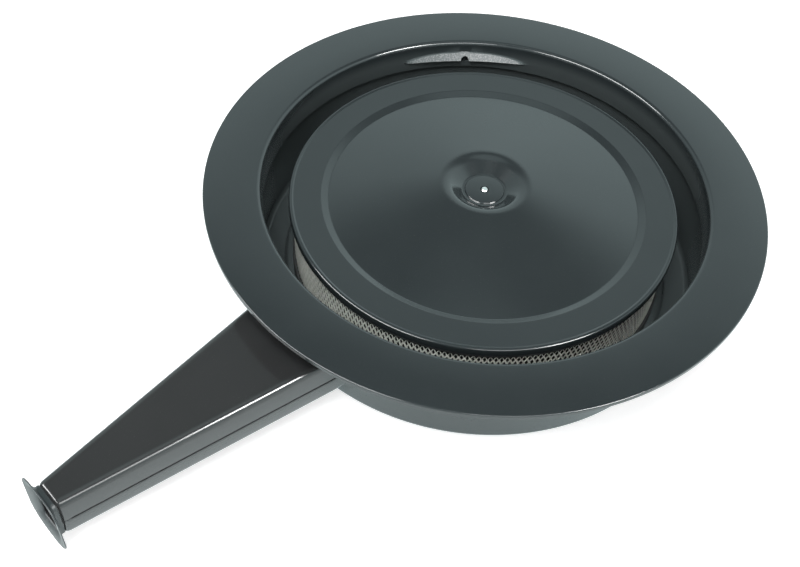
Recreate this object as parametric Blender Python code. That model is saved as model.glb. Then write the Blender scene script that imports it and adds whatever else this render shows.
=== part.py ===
"""Round carburetor air cleaner: a deep pan with a wide seal flange, a ring filter under a
sunken lid, and a tapered two-half snorkel with a flared mouth. Metres, +Z up.
The axis of the pan is Z, the pan stands on Z = 0 and the snorkel points along +X."""

import math

import bmesh
import bpy

# Sheet metal and the clearances between pieces
SHEET = 0.0009
SEAT_GAP = 0.0003
LAP_GAP = 0.0032

# Ring filter
FILTER_HEIGHT = 0.0762
FILTER_RADIUS = 0.1754
FILTER_DEPTH = 0.0254
SEAL_HEIGHT = 0.0118
SEAL_CHAMFER = 0.0015
SCREEN_THICK = 0.0008
SCREEN_INSET = 0.0018
SCREEN_STRAND = 0.0026
OUTER_SCREEN_COLUMNS = 24
OUTER_SCREEN_ROW_COUNT = 2
INNER_SCREEN_COLUMNS = 18
INNER_SCREEN_ROW_COUNT = 1
PLEATS = 80
PLEAT_WALL = 0.0030

# Pan
PAN_HEIGHT = 0.1020
FOOT_DROP = 0.0050
FOOT_SLOPE = 0.0030
PAN_CORNER = 0.0060
PAN_RIM_WIDTH = 0.0120
PRESS_FILLET = 0.0025
NECK_RADIUS = 0.0651
NECK_HEIGHT = 0.0090
CARB_SEAT_RISE = 0.0080
CARB_SEAT_WIDTH = 0.0170
CARB_SEAT_SLOPE = 0.0060

# Seal flange
FLANGE_WIDTH = 0.0510
FLANGE_LIP = 0.0040
FLANGE_EDGE = 0.0013
WELL_GAP = 0.0242
WELL_ROLL = 0.0040
WELL_SKIRT = 0.0300

# Half-moon bulge, pressed inward in the flange's skirt
BULGE_BEARING = 230.5
BULGE_HALF_ANGLE = 18.0
BULGE_DROP = 0.0196
BULGE_HEIGHT = 0.0080
BULGE_DEPTH = 0.0054
BULGE_RETURN = 0.0012

# Lid
LID_OVERHANG = 0.0024
LID_SKIRT = 0.0062
LID_EDGE = 0.0022
BAND_WIDTH = 0.0293
STEP_DEPTH = 0.0031
STEP_WIDTH = 0.0065
STEP_FILLET = 0.0022
DIMPLE_RADIUS = 0.0362
DIMPLE_RIM_RISE = 0.0192
DIMPLE_RIM_FILLET = 0.0130
DIMPLE_FLOOR_RADIUS = 0.0205
DIMPLE_FLOOR_RISE = 0.0052
DIMPLE_FLOOR_FILLET = 0.0025
BOSS_RADIUS = 0.0170
BOSS_TAPER = 0.0012
BOSS_HEIGHT = 0.0032
BOSS_EDGE = 0.0012

# Centre stud
STUD_RADIUS = 0.003175
STUD_LENGTH = 0.0600
STUD_PROUD = 0.0006
STUD_CHAMFER = 0.0008
STUD_CLEARANCE = 0.0006

# Snorkel
SNORKEL_LENGTH = 0.2480
SNORKEL_ROOT_WIDTH = 0.0978
SNORKEL_END_WIDTH = 0.0286
SNORKEL_ROOT_HEIGHT = 0.0457
SNORKEL_END_HEIGHT = 0.0436
SNORKEL_ROOT_Z = 0.0468
SNORKEL_END_Z = 0.0416
SEAM_DROP = 0.0032
SEAM_FLANGE = 0.0025
SEAM_FLANGE_NONE = 0.00015
SEAM_FLANGE_RUN = 0.0040
TOP_CORNER = 0.0032
BOTTOM_CORNER = 0.0060
WELD_TAB = 0.0070
WELD_BEND = 0.0020
SHOULDER_LENGTH = 0.0045
SHOULDER_DEPTH = 0.0022
NECK_TUBE = 0.0030
WALL_OPENING_MARGIN = 0.0014

# Snorkel mouth
MOUTH_SLEEVE = 0.0024
MOUTH_REACH = 0.0072
MOUTH_FLARE = 0.0112
MOUTH_FLARE_ANGLE = math.radians(82.0)
MOUTH_CORNER = 0.0210
MOUTH_FIT = 0.0005

# Carburetor gasket
GASKET_THICK = 0.0030
GASKET_INSET = 0.0014

# Finishes: colour, roughness and metallic
PAINT = ((0.032, 0.039, 0.040), 0.26, 0.0)
ZINC = ((0.62, 0.62, 0.60), 0.30, 1.0)
SEAL_COMPOUND = ((0.012, 0.012, 0.012), 0.75, 0.0)
SCREEN_STEEL = ((0.30, 0.29, 0.26), 0.55, 0.3)
PAPER = ((0.60, 0.50, 0.33), 0.90, 0.0)
GASKET_SHEET = ((0.020, 0.020, 0.020), 0.85, 0.0)
GUIDE = ((1.0, 1.0, 1.0), 0.50, 0.0)

# Facet counts and the angle beyond which an edge stays sharp
SEGMENTS = 48
CORNER_STEPS = 3
SMALL_CORNER_STEPS = 2
SMALL_FILLET = 0.0030
BELL_CORNER_STEPS = 5
FLAT_STEPS = 6
SMALL_RING_RADIUS = 0.0450
SHARP_ANGLE = math.radians(35.0)

# Radii and heights that follow from the sizes above
FILTER_BORE_RADIUS = FILTER_RADIUS - FILTER_DEPTH
LID_RADIUS = FILTER_RADIUS + LID_OVERHANG
WELL_RADIUS = LID_RADIUS + WELL_GAP
FLANGE_RADIUS = WELL_RADIUS + FLANGE_WIDTH
PAN_RADIUS = WELL_RADIUS + SHEET + LAP_GAP + SHEET
SNORKEL_END_X = PAN_RADIUS + SNORKEL_LENGTH
FILTER_Z = FOOT_DROP + SHEET + SEAT_GAP
FILTER_TOP_Z = FILTER_Z + FILTER_HEIGHT
LID_Z = FILTER_TOP_Z + SEAT_GAP + SHEET
FLANGE_Z = PAN_HEIGHT
BULGE_Z = FLANGE_Z - BULGE_DROP
CARB_SEAT_Z = FOOT_DROP + CARB_SEAT_RISE


def clear_scene():
    """Start from an empty scene."""
    for old in list(bpy.data.objects):
        bpy.data.objects.remove(old)


def finish(name, mesh_data, surface):
    """Put a bmesh into a smooth-shaded object with its own material."""
    colour, roughness, metallic = surface
    bmesh.ops.recalc_face_normals(mesh_data, faces=mesh_data.faces)
    mesh = bpy.data.meshes.new(name)
    mesh_data.to_mesh(mesh)
    mesh_data.free()
    mesh.shade_smooth()
    mesh.set_sharp_from_angle(angle=SHARP_ANGLE)
    material = bpy.data.materials.new(name)
    material.use_nodes = True
    shader = material.node_tree.nodes["Principled BSDF"]
    shader.inputs["Base Color"].default_value = (*colour, 1.0)
    shader.inputs["Roughness"].default_value = roughness
    shader.inputs["Metallic"].default_value = metallic
    mesh.materials.append(material)
    piece = bpy.data.objects.new(name, mesh)
    bpy.context.collection.objects.link(piece)
    return piece


def rounded_path(corners):
    """Points of a path whose corners (across, up, fillet) are rounded by arcs."""
    points = []
    for index, (across, up, fillet) in enumerate(corners):
        if fillet == 0.0:
            points.append((across, up))
            continue
        back = unit(corners[index - 1], corners[index])
        ahead = unit(corners[index + 1], corners[index])
        half = math.acos(back[0] * ahead[0] + back[1] * ahead[1]) / 2
        reach = fillet / math.tan(half)
        start = (across + back[0] * reach, up + back[1] * reach)
        end = (across + ahead[0] * reach, up + ahead[1] * reach)
        middle = fillet / math.sin(half)
        bisector = unit((back[0] + ahead[0], back[1] + ahead[1]), (0.0, 0.0))
        centre = (across + bisector[0] * middle, up + bisector[1] * middle)
        first = math.atan2(start[1] - centre[1], start[0] - centre[0])
        turn = math.atan2(end[1] - centre[1], end[0] - centre[0]) - first
        turn = (turn + math.pi) % (2 * math.pi) - math.pi
        quarter_steps = CORNER_STEPS if fillet > SMALL_FILLET else SMALL_CORNER_STEPS
        steps = max(1, round(abs(turn) / (math.pi / 2) * quarter_steps))
        for step in range(steps + 1):
            angle = first + turn * step / steps
            points.append((centre[0] + fillet * math.cos(angle), centre[1] + fillet * math.sin(angle)))
    return points


def unit(tip, tail):
    """Unit vector from tail to tip, in the plane of a section."""
    across, up = tip[0] - tail[0], tip[1] - tail[1]
    length = math.hypot(across, up)
    return across / length, up / length


def offset_path(points, thickness):
    """The same path moved to its left by a sheet's thickness, with mitred corners."""
    moved = []
    for index, point in enumerate(points):
        before = unit(point, points[index - 1]) if index > 0 else unit(points[1], points[0])
        after = unit(points[index + 1], point) if index < len(points) - 1 else before
        normal_before = (-before[1], before[0])
        normal_after = (-after[1], after[0])
        bisector = unit((normal_before[0] + normal_after[0], normal_before[1] + normal_after[1]), (0.0, 0.0))
        stretch = thickness / (bisector[0] * normal_before[0] + bisector[1] * normal_before[1])
        moved.append((point[0] + bisector[0] * stretch, point[1] + bisector[1] * stretch))
    return moved


def sheet_outline(corners):
    """Closed section of a folded or pressed sheet, whose one skin follows the corners."""
    skin = rounded_path(corners)
    return skin + offset_path(skin, SHEET)[::-1]


def turned(name, outline, surface, bearing=0.0):
    """Turn a closed (radius, height) outline about Z from a bearing; small rings get half the segments."""
    shell = bmesh.new()
    rings = []
    for radius, height in outline:
        count = SEGMENTS if radius > SMALL_RING_RADIUS else SEGMENTS // 2
        angles = [bearing + 2 * math.pi * step / count for step in range(count)]
        rings.append([shell.verts.new((radius * math.cos(a), radius * math.sin(a), height)) for a in angles])
    for index, ring in enumerate(rings):
        join_rings(shell, ring, rings[(index + 1) % len(rings)])
    return finish(name, shell, surface)


def join_rings(shell, ring, other):
    """Faces between two closed rings of equal count, or of which one has twice the other's."""
    if len(ring) < len(other):
        ring, other = other, ring
    count = len(ring)
    if count == len(other):
        for step in range(count):
            following = (step + 1) % count
            shell.faces.new((ring[step], ring[following], other[following], other[step]))
        return
    for step in range(len(other)):
        middle = ring[2 * step + 1]
        end = ring[(2 * step + 2) % count]
        following = other[(step + 1) % len(other)]
        shell.faces.new((other[step], ring[2 * step], middle))
        shell.faces.new((other[step], middle, following))
        shell.faces.new((following, middle, end))


# Base pan: floor with a filter seat and a carburetor neck, wall and an outward rim

def base_pan():
    """Deep-drawn pan, cut out where the snorkel opens into it."""
    seat_radius = FILTER_RADIUS + 2 * PRESS_FILLET
    carb_seat_radius = NECK_RADIUS + CARB_SEAT_WIDTH
    rim_z = FLANGE_Z - SHEET - SEAT_GAP - SHEET
    outline = sheet_outline([
        (NECK_RADIUS, CARB_SEAT_Z + NECK_HEIGHT, 0.0),
        (NECK_RADIUS, CARB_SEAT_Z, PRESS_FILLET),
        (carb_seat_radius, CARB_SEAT_Z, PRESS_FILLET),
        (carb_seat_radius + CARB_SEAT_SLOPE, FOOT_DROP, PRESS_FILLET),
        (seat_radius, FOOT_DROP, PRESS_FILLET),
        (seat_radius + FOOT_SLOPE, 0.0, PRESS_FILLET),
        (PAN_RADIUS, 0.0, PAN_CORNER),
        (PAN_RADIUS, rim_z, PRESS_FILLET),
        (PAN_RADIUS + PAN_RIM_WIDTH, rim_z, 0.0),
    ])
    pan = turned("base_pan", outline, PAINT)
    cutter = wall_opening()
    cut = pan.modifiers.new("snorkel opening", "BOOLEAN")
    cut.operation = "DIFFERENCE"
    cut.solver = "EXACT"
    cut.object = cutter


def wall_opening():
    """Guide body that cuts the snorkel's opening into the pan wall."""
    inset = -SHEET - WALL_OPENING_MARGIN
    ring = closed_section(PAN_RADIUS, inset, TOP_CORNER, CORNER_STEPS)
    body = bmesh.new()
    inner = [body.verts.new((PAN_RADIUS - PAN_RIM_WIDTH, y, z)) for y, z in ring]
    outer = [body.verts.new((PAN_RADIUS + PAN_RIM_WIDTH, y, z)) for y, z in ring]
    body.faces.new(inner)
    body.faces.new(outer)
    join_rings(body, inner, outer)
    cutter = finish("snorkel_opening_guide", body, GUIDE)
    cutter.hide_render = True
    cutter.display_type = "WIRE"
    return cutter


# Seal flange: wide flat ring, turned down outside, rolled into a skirt inside

def bulge_swell(angle):
    """Share of the bulge's full height and depth at an angle from its middle, as a half-ellipse."""
    across = angle / math.radians(BULGE_HALF_ANGLE)
    return math.sqrt(max(0.0, 1 - across**2))


def seal_flange():
    """Wide ring that lies on the pan's rim; its skirt hangs inside the pan and has one pressed bulge."""
    column = 2 * math.pi / SEGMENTS
    tops = [bulge_swell(step * column) for step in range(SEGMENTS // 2) if bulge_swell(step * column) > 0]
    skirt = [(WELL_RADIUS, BULGE_Z + BULGE_HEIGHT * swell, 0.0) for swell in tops]
    outline = sheet_outline([
        (FLANGE_RADIUS, FLANGE_Z - FLANGE_LIP, 0.0),
        (FLANGE_RADIUS, FLANGE_Z, FLANGE_EDGE),
        (WELL_RADIUS, FLANGE_Z, WELL_ROLL),
        *skirt,
        (WELL_RADIUS, BULGE_Z, 0.0),
        (WELL_RADIUS, BULGE_Z - BULGE_RETURN, 0.0),
        (WELL_RADIUS, FLANGE_Z - WELL_SKIRT, 0.0),
    ])
    bearing = math.radians(BULGE_BEARING)
    flange = turned("seal_flange", outline, PAINT, bearing)
    for vertex in flange.data.vertices:
        x, y, z = vertex.co
        radius = math.hypot(x, y)
        off_middle = math.remainder(math.atan2(y, x) - bearing, 2 * math.pi)
        top = BULGE_Z + BULGE_HEIGHT * bulge_swell(off_middle)
        on_skirt = radius < WELL_RADIUS + 2 * SHEET
        if on_skirt and BULGE_Z - BULGE_RETURN / 2 < z < top:
            push = BULGE_DEPTH * (top - z) / BULGE_HEIGHT
            vertex.co.x -= push * x / radius
            vertex.co.y -= push * y / radius


# Lid: skirt, flat band, step, shallow cone, centre dimple and boss with the stud hole

def lid():
    """Pressed lid, lying on the filter's top seal."""
    band_inner = LID_RADIUS - BAND_WIDTH
    cone_foot = band_inner - STEP_WIDTH
    hole_radius = STUD_RADIUS + STUD_CLEARANCE
    floor_z = LID_Z + DIMPLE_FLOOR_RISE
    outline = sheet_outline([
        (LID_RADIUS, LID_Z - LID_SKIRT, 0.0),
        (LID_RADIUS, LID_Z, LID_EDGE),
        (band_inner, LID_Z, STEP_FILLET),
        (cone_foot, LID_Z - STEP_DEPTH, STEP_FILLET),
        (DIMPLE_RADIUS, LID_Z + DIMPLE_RIM_RISE, DIMPLE_RIM_FILLET),
        (DIMPLE_FLOOR_RADIUS, floor_z, DIMPLE_FLOOR_FILLET),
        (BOSS_RADIUS + BOSS_TAPER, floor_z, 0.0),
        (BOSS_RADIUS, floor_z + BOSS_HEIGHT, BOSS_EDGE),
        (hole_radius, floor_z + BOSS_HEIGHT, 0.0),
    ])
    turned("lid", outline, PAINT)


def center_stud():
    """Plated quarter-inch stud whose end shows in the lid's boss."""
    top = LID_Z + DIMPLE_FLOOR_RISE + BOSS_HEIGHT + STUD_PROUD
    bottom = top - STUD_LENGTH
    tip = STUD_RADIUS - STUD_CHAMFER
    rod = bmesh.new()
    rings = []
    for radius, height in ((tip, bottom), (STUD_RADIUS, bottom + STUD_CHAMFER),
                           (STUD_RADIUS, top - STUD_CHAMFER), (tip, top)):
        circle = bmesh.ops.create_circle(rod, segments=SEGMENTS // 4, radius=radius)["verts"]
        bmesh.ops.translate(rod, verts=circle, vec=(0.0, 0.0, height))
        rings.append(circle)
    for lower, upper in zip(rings, rings[1:]):
        join_rings(rod, lower, upper)
    rod.faces.new(rings[0])
    rod.faces.new(rings[-1])
    finish("center_stud", rod, ZINC)


# Ring filter: two seals, two screens and the pleated paper between them

def filter_seal(name, low):
    """Moulded sealing ring with its edges chamfered."""
    high = low + SEAL_HEIGHT
    outline = [
        (FILTER_BORE_RADIUS, low), (FILTER_RADIUS - SEAL_CHAMFER, low),
        (FILTER_RADIUS, low + SEAL_CHAMFER), (FILTER_RADIUS, high - SEAL_CHAMFER),
        (FILTER_RADIUS - SEAL_CHAMFER, high), (FILTER_BORE_RADIUS, high),
    ]
    turned(name, outline, SEAL_COMPOUND)


def screen(name, inner_radius, columns, rows):
    """Expanded-metal sleeve: a lattice of strands with one opening in each whole diamond."""
    low = FILTER_Z + SEAL_HEIGHT + SEAT_GAP
    high = FILTER_TOP_Z - SEAL_HEIGHT - SEAT_GAP
    outer_radius = inner_radius + SCREEN_THICK
    half_wide = math.pi * outer_radius / columns
    half_high = (high - low) / (2 * rows)
    shrink = 1 - SCREEN_STRAND / 2 * math.hypot(half_wide, half_high) / (half_wide * half_high)
    sleeve = bmesh.new()
    made = {}

    def corner(skin, across, up):
        key = (skin, round(across % (2 * columns), 6) % (2 * columns), round(up, 6))
        if key not in made:
            radius = outer_radius if skin else inner_radius
            angle = math.pi * across / columns
            place = (radius * math.cos(angle), radius * math.sin(angle), low + up * half_high)
            made[key] = sleeve.verts.new(place)
        return made[key]

    for across in range(2 * columns):
        for up in range(2 * rows + 1):
            if (across + up) % 2 == 0:
                continue
            rim = [(across - 1, up), (across, up - 1), (across + 1, up), (across, up + 1)]
            if up in (0, 2 * rows):
                tip = (across, 1 if up == 0 else up - 1)
                for first in (across - 1, across):
                    ends = [(first, up), (first + 1, up)]
                    for skin in (0, 1):
                        sleeve.faces.new([corner(skin, *place) for place in ends + [tip]])
                    edge = [(0, ends[0]), (0, ends[1]), (1, ends[1]), (1, ends[0])]
                    sleeve.faces.new([corner(skin, *place) for skin, place in edge])
                continue
            hole = [(across + (x - across) * shrink, up + (z - up) * shrink) for x, z in rim]
            for side in range(4):
                following = (side + 1) % 4
                for skin in (0, 1):
                    edge = [rim[side], rim[following], hole[following], hole[side]]
                    sleeve.faces.new([corner(skin, *place) for place in edge])
                bar = [(0, hole[side]), (0, hole[following]), (1, hole[following]), (1, hole[side])]
                sleeve.faces.new([corner(skin, *place) for skin, place in bar])
    finish(name, sleeve, SCREEN_STEEL)


def filter_paper():
    """One folded strip: a zigzag wall between the two screens."""
    low = FILTER_Z + SEAL_HEIGHT + SEAT_GAP
    high = FILTER_TOP_Z - SEAL_HEIGHT - SEAT_GAP
    chord = math.cos(math.pi / (2 * OUTER_SCREEN_COLUMNS))
    tip = (FILTER_RADIUS - SCREEN_INSET - SCREEN_THICK) * chord - SEAT_GAP
    root = FILTER_BORE_RADIUS + SCREEN_INSET + SCREEN_THICK + SEAT_GAP
    fold = bmesh.new()
    loops = []
    for step in range(2 * PLEATS):
        angle = math.pi * step / PLEATS
        outer = tip if step % 2 else root + PLEAT_WALL
        inner = outer - PLEAT_WALL
        corners = ((outer, low), (outer, high), (inner, high), (inner, low))
        loops.append([fold.verts.new((r * math.cos(angle), r * math.sin(angle), z)) for r, z in corners])
    for step, loop in enumerate(loops):
        join_rings(fold, loop, loops[(step + 1) % len(loops)])
    finish("filter_paper", fold, PAPER)


# Snorkel: a rectangular duct that narrows outward, pressed as two halves with a side seam

def along(x, root, end):
    """A snorkel size at distance x from the pan's axis, between the pan wall and the duct's end."""
    return root + (end - root) * (x - PAN_RADIUS) / SNORKEL_LENGTH


def duct(x, grow):
    """Half width, top height and bottom height of the duct at x, grown by the given amount."""
    half_width = along(x, SNORKEL_ROOT_WIDTH, SNORKEL_END_WIDTH) / 2 + grow
    half_height = along(x, SNORKEL_ROOT_HEIGHT, SNORKEL_END_HEIGHT) / 2 + grow
    centre = along(x, SNORKEL_ROOT_Z, SNORKEL_END_Z)
    return half_width, centre + half_height, centre - half_height


def seam_z(x):
    """Height of the side seam at x."""
    return along(x, SNORKEL_ROOT_Z, SNORKEL_END_Z) - SEAM_DROP


def closed_section(x, grow, corner, steps):
    """Whole rounded-rectangle section of the duct as (y, z) points."""
    half_width, top, bottom = duct(x, grow)
    points = []
    for side, level, start in ((1, top, 0), (-1, top, 90), (-1, bottom, 180), (1, bottom, 270)):
        rise = 1 if level == top else -1
        for step in range(steps + 1):
            angle = math.radians(start + 90 * step / steps)
            y = side * (half_width - corner) + corner * math.cos(angle)
            points.append((y, level - rise * corner + corner * math.sin(angle)))
    return points


def half_section(x, grow, seam_flange, rise, seam_lift):
    """One half's skin from seam flange to seam flange, as (y, z) points; rise is 1 or -1."""
    half_width, top, bottom = duct(x, grow)
    level = top if rise > 0 else bottom
    corner = max((TOP_CORNER if rise > 0 else BOTTOM_CORNER) + grow, SHEET / 2)
    seam = seam_z(x) + rise * seam_lift
    right = [(half_width + seam_flange, seam), (half_width, seam)]
    for step in range(CORNER_STEPS + 1):
        angle = math.radians(90 * step / CORNER_STEPS)
        y = half_width - corner + corner * math.cos(angle)
        right.append((y, level - rise * (corner - corner * math.sin(angle))))
    left = [(-y, z) for y, z in reversed(right)]
    reach = half_width - corner
    flat = [(reach * (1 - 2 * step / FLAT_STEPS), level) for step in range(1, FLAT_STEPS)]
    return right + flat + left


def snorkel_half(name, rise):
    """Pressed half of the duct with root tabs, seam flanges, a shoulder and half a neck."""
    root = PAN_RADIUS + SEAT_GAP
    bend = WELD_BEND * (1 - math.sqrt(0.5))
    outer_bend = (WELD_BEND + SHEET) * math.sqrt(0.5)
    shoulder = SNORKEL_END_X - SHOULDER_LENGTH
    neck_end = SNORKEL_END_X + NECK_TUBE
    flange_start = root + SHEET + WELD_BEND + SEAM_FLANGE_RUN
    # Each row: wall-following or flat, distance, growth of the outer skin, the same for the
    # inner skin, and the seam flange's width
    rows = [
        (True, SHEET, WELD_TAB, 0.0, WELD_TAB, SEAM_FLANGE_NONE),
        (True, SHEET, WELD_BEND, 0.0, WELD_BEND, SEAM_FLANGE_NONE),
        (True, SHEET + bend, bend, SHEET + WELD_BEND - outer_bend, WELD_BEND - outer_bend, SEAM_FLANGE_NONE),
        (True, SHEET + WELD_BEND, 0.0, SHEET + WELD_BEND, -SHEET, SEAM_FLANGE_NONE),
        (False, flange_start + SEAM_FLANGE_RUN, 0.0, flange_start + SEAM_FLANGE_RUN, -SHEET, SEAM_FLANGE),
        (False, shoulder - SEAM_FLANGE_RUN, 0.0, shoulder - SEAM_FLANGE_RUN, -SHEET, SEAM_FLANGE),
    ]
    for step in range(CORNER_STEPS + 1):
        angle = math.radians(90 * step / CORNER_STEPS)
        x = shoulder + SHOULDER_LENGTH * math.sin(angle)
        shrink = -SHOULDER_DEPTH * (1 - math.cos(angle))
        rows.append((False, x, shrink, x, shrink - SHEET, SEAM_FLANGE_NONE))
    rows.append((False, neck_end, -SHOULDER_DEPTH, neck_end, -SHOULDER_DEPTH - SHEET, SEAM_FLANGE_NONE))
    shell = bmesh.new()
    loops = []
    for on_wall, outer_x, outer_grow, inner_x, inner_grow, flange in rows:
        wall_x = root if on_wall else 0.0
        loop = []
        for skin_x, grow, lift, extra in (
            (outer_x, outer_grow, SEAT_GAP / 2 + SHEET, 0.0),
            (inner_x, inner_grow, SEAT_GAP / 2, outer_grow - inner_grow),
        ):
            points = half_section(wall_x + skin_x, grow, flange + extra, rise, lift)
            skin = []
            for y, z in points:
                x = math.sqrt(root**2 - y**2) + skin_x if on_wall else skin_x
                skin.append(shell.verts.new((x, y, z)))
            loop += skin if not loop else skin[::-1]
        loops.append(loop)
    for loop, following in zip(loops, loops[1:]):
        join_rings(shell, loop, following)
    for loop in (loops[0], loops[-1]):
        count = len(loop) // 2
        for step in range(count - 1):
            shell.faces.new((loop[step], loop[step + 1], loop[-2 - step], loop[-1 - step]))
    finish(name, shell, PAINT)


def snorkel_mouth():
    """Flared bell whose sleeve grips the neck that the two halves form."""
    sleeve = MOUTH_FIT + SEAM_FLANGE_NONE - SHOULDER_DEPTH
    neck_corner = TOP_CORNER + sleeve
    start = SNORKEL_END_X + SEAT_GAP
    lip_x = SNORKEL_END_X + MOUTH_REACH
    skin = [(start, sleeve)]
    flare_start = start + MOUTH_SLEEVE
    steps = 2 * CORNER_STEPS
    for step in range(steps + 1):
        angle = MOUTH_FLARE_ANGLE * step / steps
        x = flare_start + (lip_x - flare_start) * math.sin(angle) / math.sin(MOUTH_FLARE_ANGLE)
        share = (1 - math.cos(angle)) / (1 - math.cos(MOUTH_FLARE_ANGLE))
        skin.append((x, sleeve + (MOUTH_FLARE - sleeve) * share))
    outline = skin + offset_path(skin, SHEET)[::-1]
    bell = bmesh.new()
    rings = []
    for x, grow in outline:
        share = (grow - sleeve) / (MOUTH_FLARE - sleeve)
        corner = neck_corner + (MOUTH_CORNER - neck_corner) * share
        section = closed_section(SNORKEL_END_X, grow, corner, BELL_CORNER_STEPS)
        rings.append([bell.verts.new((x, y, z)) for y, z in section])
    for index, ring in enumerate(rings):
        join_rings(bell, ring, rings[(index + 1) % len(rings)])
    finish("snorkel_mouth", bell, PAINT)


# Carburetor gasket: flat ring in the recess under the neck

def carb_gasket():
    """Flat sealing ring that the carburetor bears on."""
    inner = NECK_RADIUS + SHEET + GASKET_INSET
    outer = NECK_RADIUS + CARB_SEAT_WIDTH - GASKET_INSET
    top = CARB_SEAT_Z - SEAT_GAP
    bottom = top - GASKET_THICK
    outline = [(inner, bottom), (outer, bottom), (outer, top), (inner, top)]
    turned("carb_gasket", outline, GASKET_SHEET)


clear_scene()
base_pan()
seal_flange()
lid()
center_stud()
filter_seal("filter_bottom_seal", FILTER_Z)
filter_seal("filter_top_seal", FILTER_TOP_Z - SEAL_HEIGHT)
screen("filter_outer_screen", FILTER_RADIUS - SCREEN_INSET - SCREEN_THICK,
       OUTER_SCREEN_COLUMNS, OUTER_SCREEN_ROW_COUNT)
screen("filter_inner_screen", FILTER_BORE_RADIUS + SCREEN_INSET,
       INNER_SCREEN_COLUMNS, INNER_SCREEN_ROW_COUNT)
filter_paper()
snorkel_half("snorkel_upper", 1)
snorkel_half("snorkel_lower", -1)
snorkel_mouth()
carb_gasket()
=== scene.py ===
"""A round carburetor air cleaner on a white table, seen from above with the snorkel to the lower left:
deep pan, wide seal flange, sunken lid on a pleated ring filter, and tapered snorkel with a flared mouth."""

import math

import bmesh
import bpy
from mathutils import Matrix, Vector


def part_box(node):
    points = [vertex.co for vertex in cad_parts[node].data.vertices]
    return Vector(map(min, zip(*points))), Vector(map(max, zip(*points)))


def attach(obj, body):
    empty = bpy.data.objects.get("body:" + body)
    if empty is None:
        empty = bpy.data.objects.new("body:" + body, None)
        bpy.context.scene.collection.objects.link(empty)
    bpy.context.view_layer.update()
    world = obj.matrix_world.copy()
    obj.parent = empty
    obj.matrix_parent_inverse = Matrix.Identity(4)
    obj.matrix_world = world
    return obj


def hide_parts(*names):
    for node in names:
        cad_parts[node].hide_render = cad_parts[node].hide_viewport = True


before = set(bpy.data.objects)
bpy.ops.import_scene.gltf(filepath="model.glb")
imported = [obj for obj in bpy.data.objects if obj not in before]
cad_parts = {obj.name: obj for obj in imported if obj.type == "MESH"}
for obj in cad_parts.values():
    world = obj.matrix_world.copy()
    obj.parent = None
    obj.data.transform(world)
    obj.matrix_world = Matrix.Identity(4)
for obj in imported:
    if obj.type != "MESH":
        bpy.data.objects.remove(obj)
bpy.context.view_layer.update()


# Base pan. One deep-drawn sheet of 0.9 mm steel: the floor has a raised seat for the filter and a
# neck for the carburetor, the wall ends in an outward rim, and a snorkel opening is cut in the wall.
# The whole pressing is painted black after it is formed and welded.

SHEET = 0.0009
WELD_GAP = 0.0003
ARC_STEP = math.radians(12.0)
CREASE = math.radians(32.0)
TOUCHING = 0.000002

PAN_RIM_WIDTH = 0.0120
PAN_WALL_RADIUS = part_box("base_pan")[1][0] - PAN_RIM_WIDTH
PAN_RIM_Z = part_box("base_pan")[1][2] - SHEET
PAN_CORNER = 0.0060
FOOT_DROP = 0.0050
FOOT_SLOPE = 0.0030
FILTER_SEAT_RADIUS = 0.1804
PRESS_FILLET = 0.0025
NECK_RADIUS = 0.0651
NECK_HEIGHT = 0.0090
CARB_SEAT_RISE = 0.0080
CARB_SEAT_WIDTH = 0.0170
CARB_SEAT_SLOPE = 0.0060

PAINT_COLOUR = (0.0225, 0.0290, 0.0312, 1.0)
PAINT_LIGHTER = (0.0275, 0.0348, 0.0370, 1.0)
ROUGH_LEAST, ROUGH_MOST = 0.92, 1.10
SPECK_COLOUR = (0.30, 0.31, 0.30, 1.0)
SPECK_SCALE = 1400.0
SPECK_EDGE = (0.76, 0.84)
# Painted light: inside the well the paint turns lighter from just below the rim downward, standing in for
# light that reaches the recess.
WELL_PAINTED_LIGHT = (0.070, 0.084, 0.086, 1.0)
WELL_LIGHT_FADE = 0.014
WELL_LIGHT_SHARE = 0.9
# Painted highlight: light grainy patches on the skirt's bulge stand for the glint the bulge shows.
PAINTED_GLINT_COLOUR = (0.24, 0.25, 0.25, 1.0)
PAINTED_GLINT_SCALE = 620.0
PAINTED_GLINT_EDGE = (0.48, 0.62)
PAINTED_GLINT_SHARE = (0.05, 0.50)


def put(tree, kind, **settings):
    """Add a node to a tree, with its settings."""
    node = tree.nodes.new(kind)
    for key, value in settings.items():
        setattr(node, key, value)
    return node


def feed(tree, value, socket):
    """Link a socket to an input, or write a plain value into it."""
    if isinstance(value, bpy.types.NodeSocket):
        tree.links.new(value, socket)
    else:
        socket.default_value = value


def maths(tree, operation, *values):
    """A Math node on sockets or plain numbers; returns its result."""
    node = put(tree, "ShaderNodeMath", operation=operation)
    for value, socket in zip(values, node.inputs):
        feed(tree, value, socket)
    return node.outputs[0]


def ramp(tree, value, start, end, low, high, kind="SMOOTHSTEP"):
    """A socket's stretch from start to end, spread from low to high; returns the result."""
    node = put(tree, "ShaderNodeMapRange", interpolation_type=kind)
    tree.links.new(value, node.inputs["Value"])
    for label, number in (("From Min", start), ("From Max", end), ("To Min", low), ("To Max", high)):
        feed(tree, number, node.inputs[label])
    return node.outputs["Result"]


def mixed(tree, share, under, over):
    """Two colours, with a share of the second over the first; returns the mix."""
    node = put(tree, "ShaderNodeMix", data_type="RGBA")
    for label, value in (("Factor", share), ("A", under), ("B", over)):
        feed(tree, value, node.inputs[label])
    return node.outputs["Result"]


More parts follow.
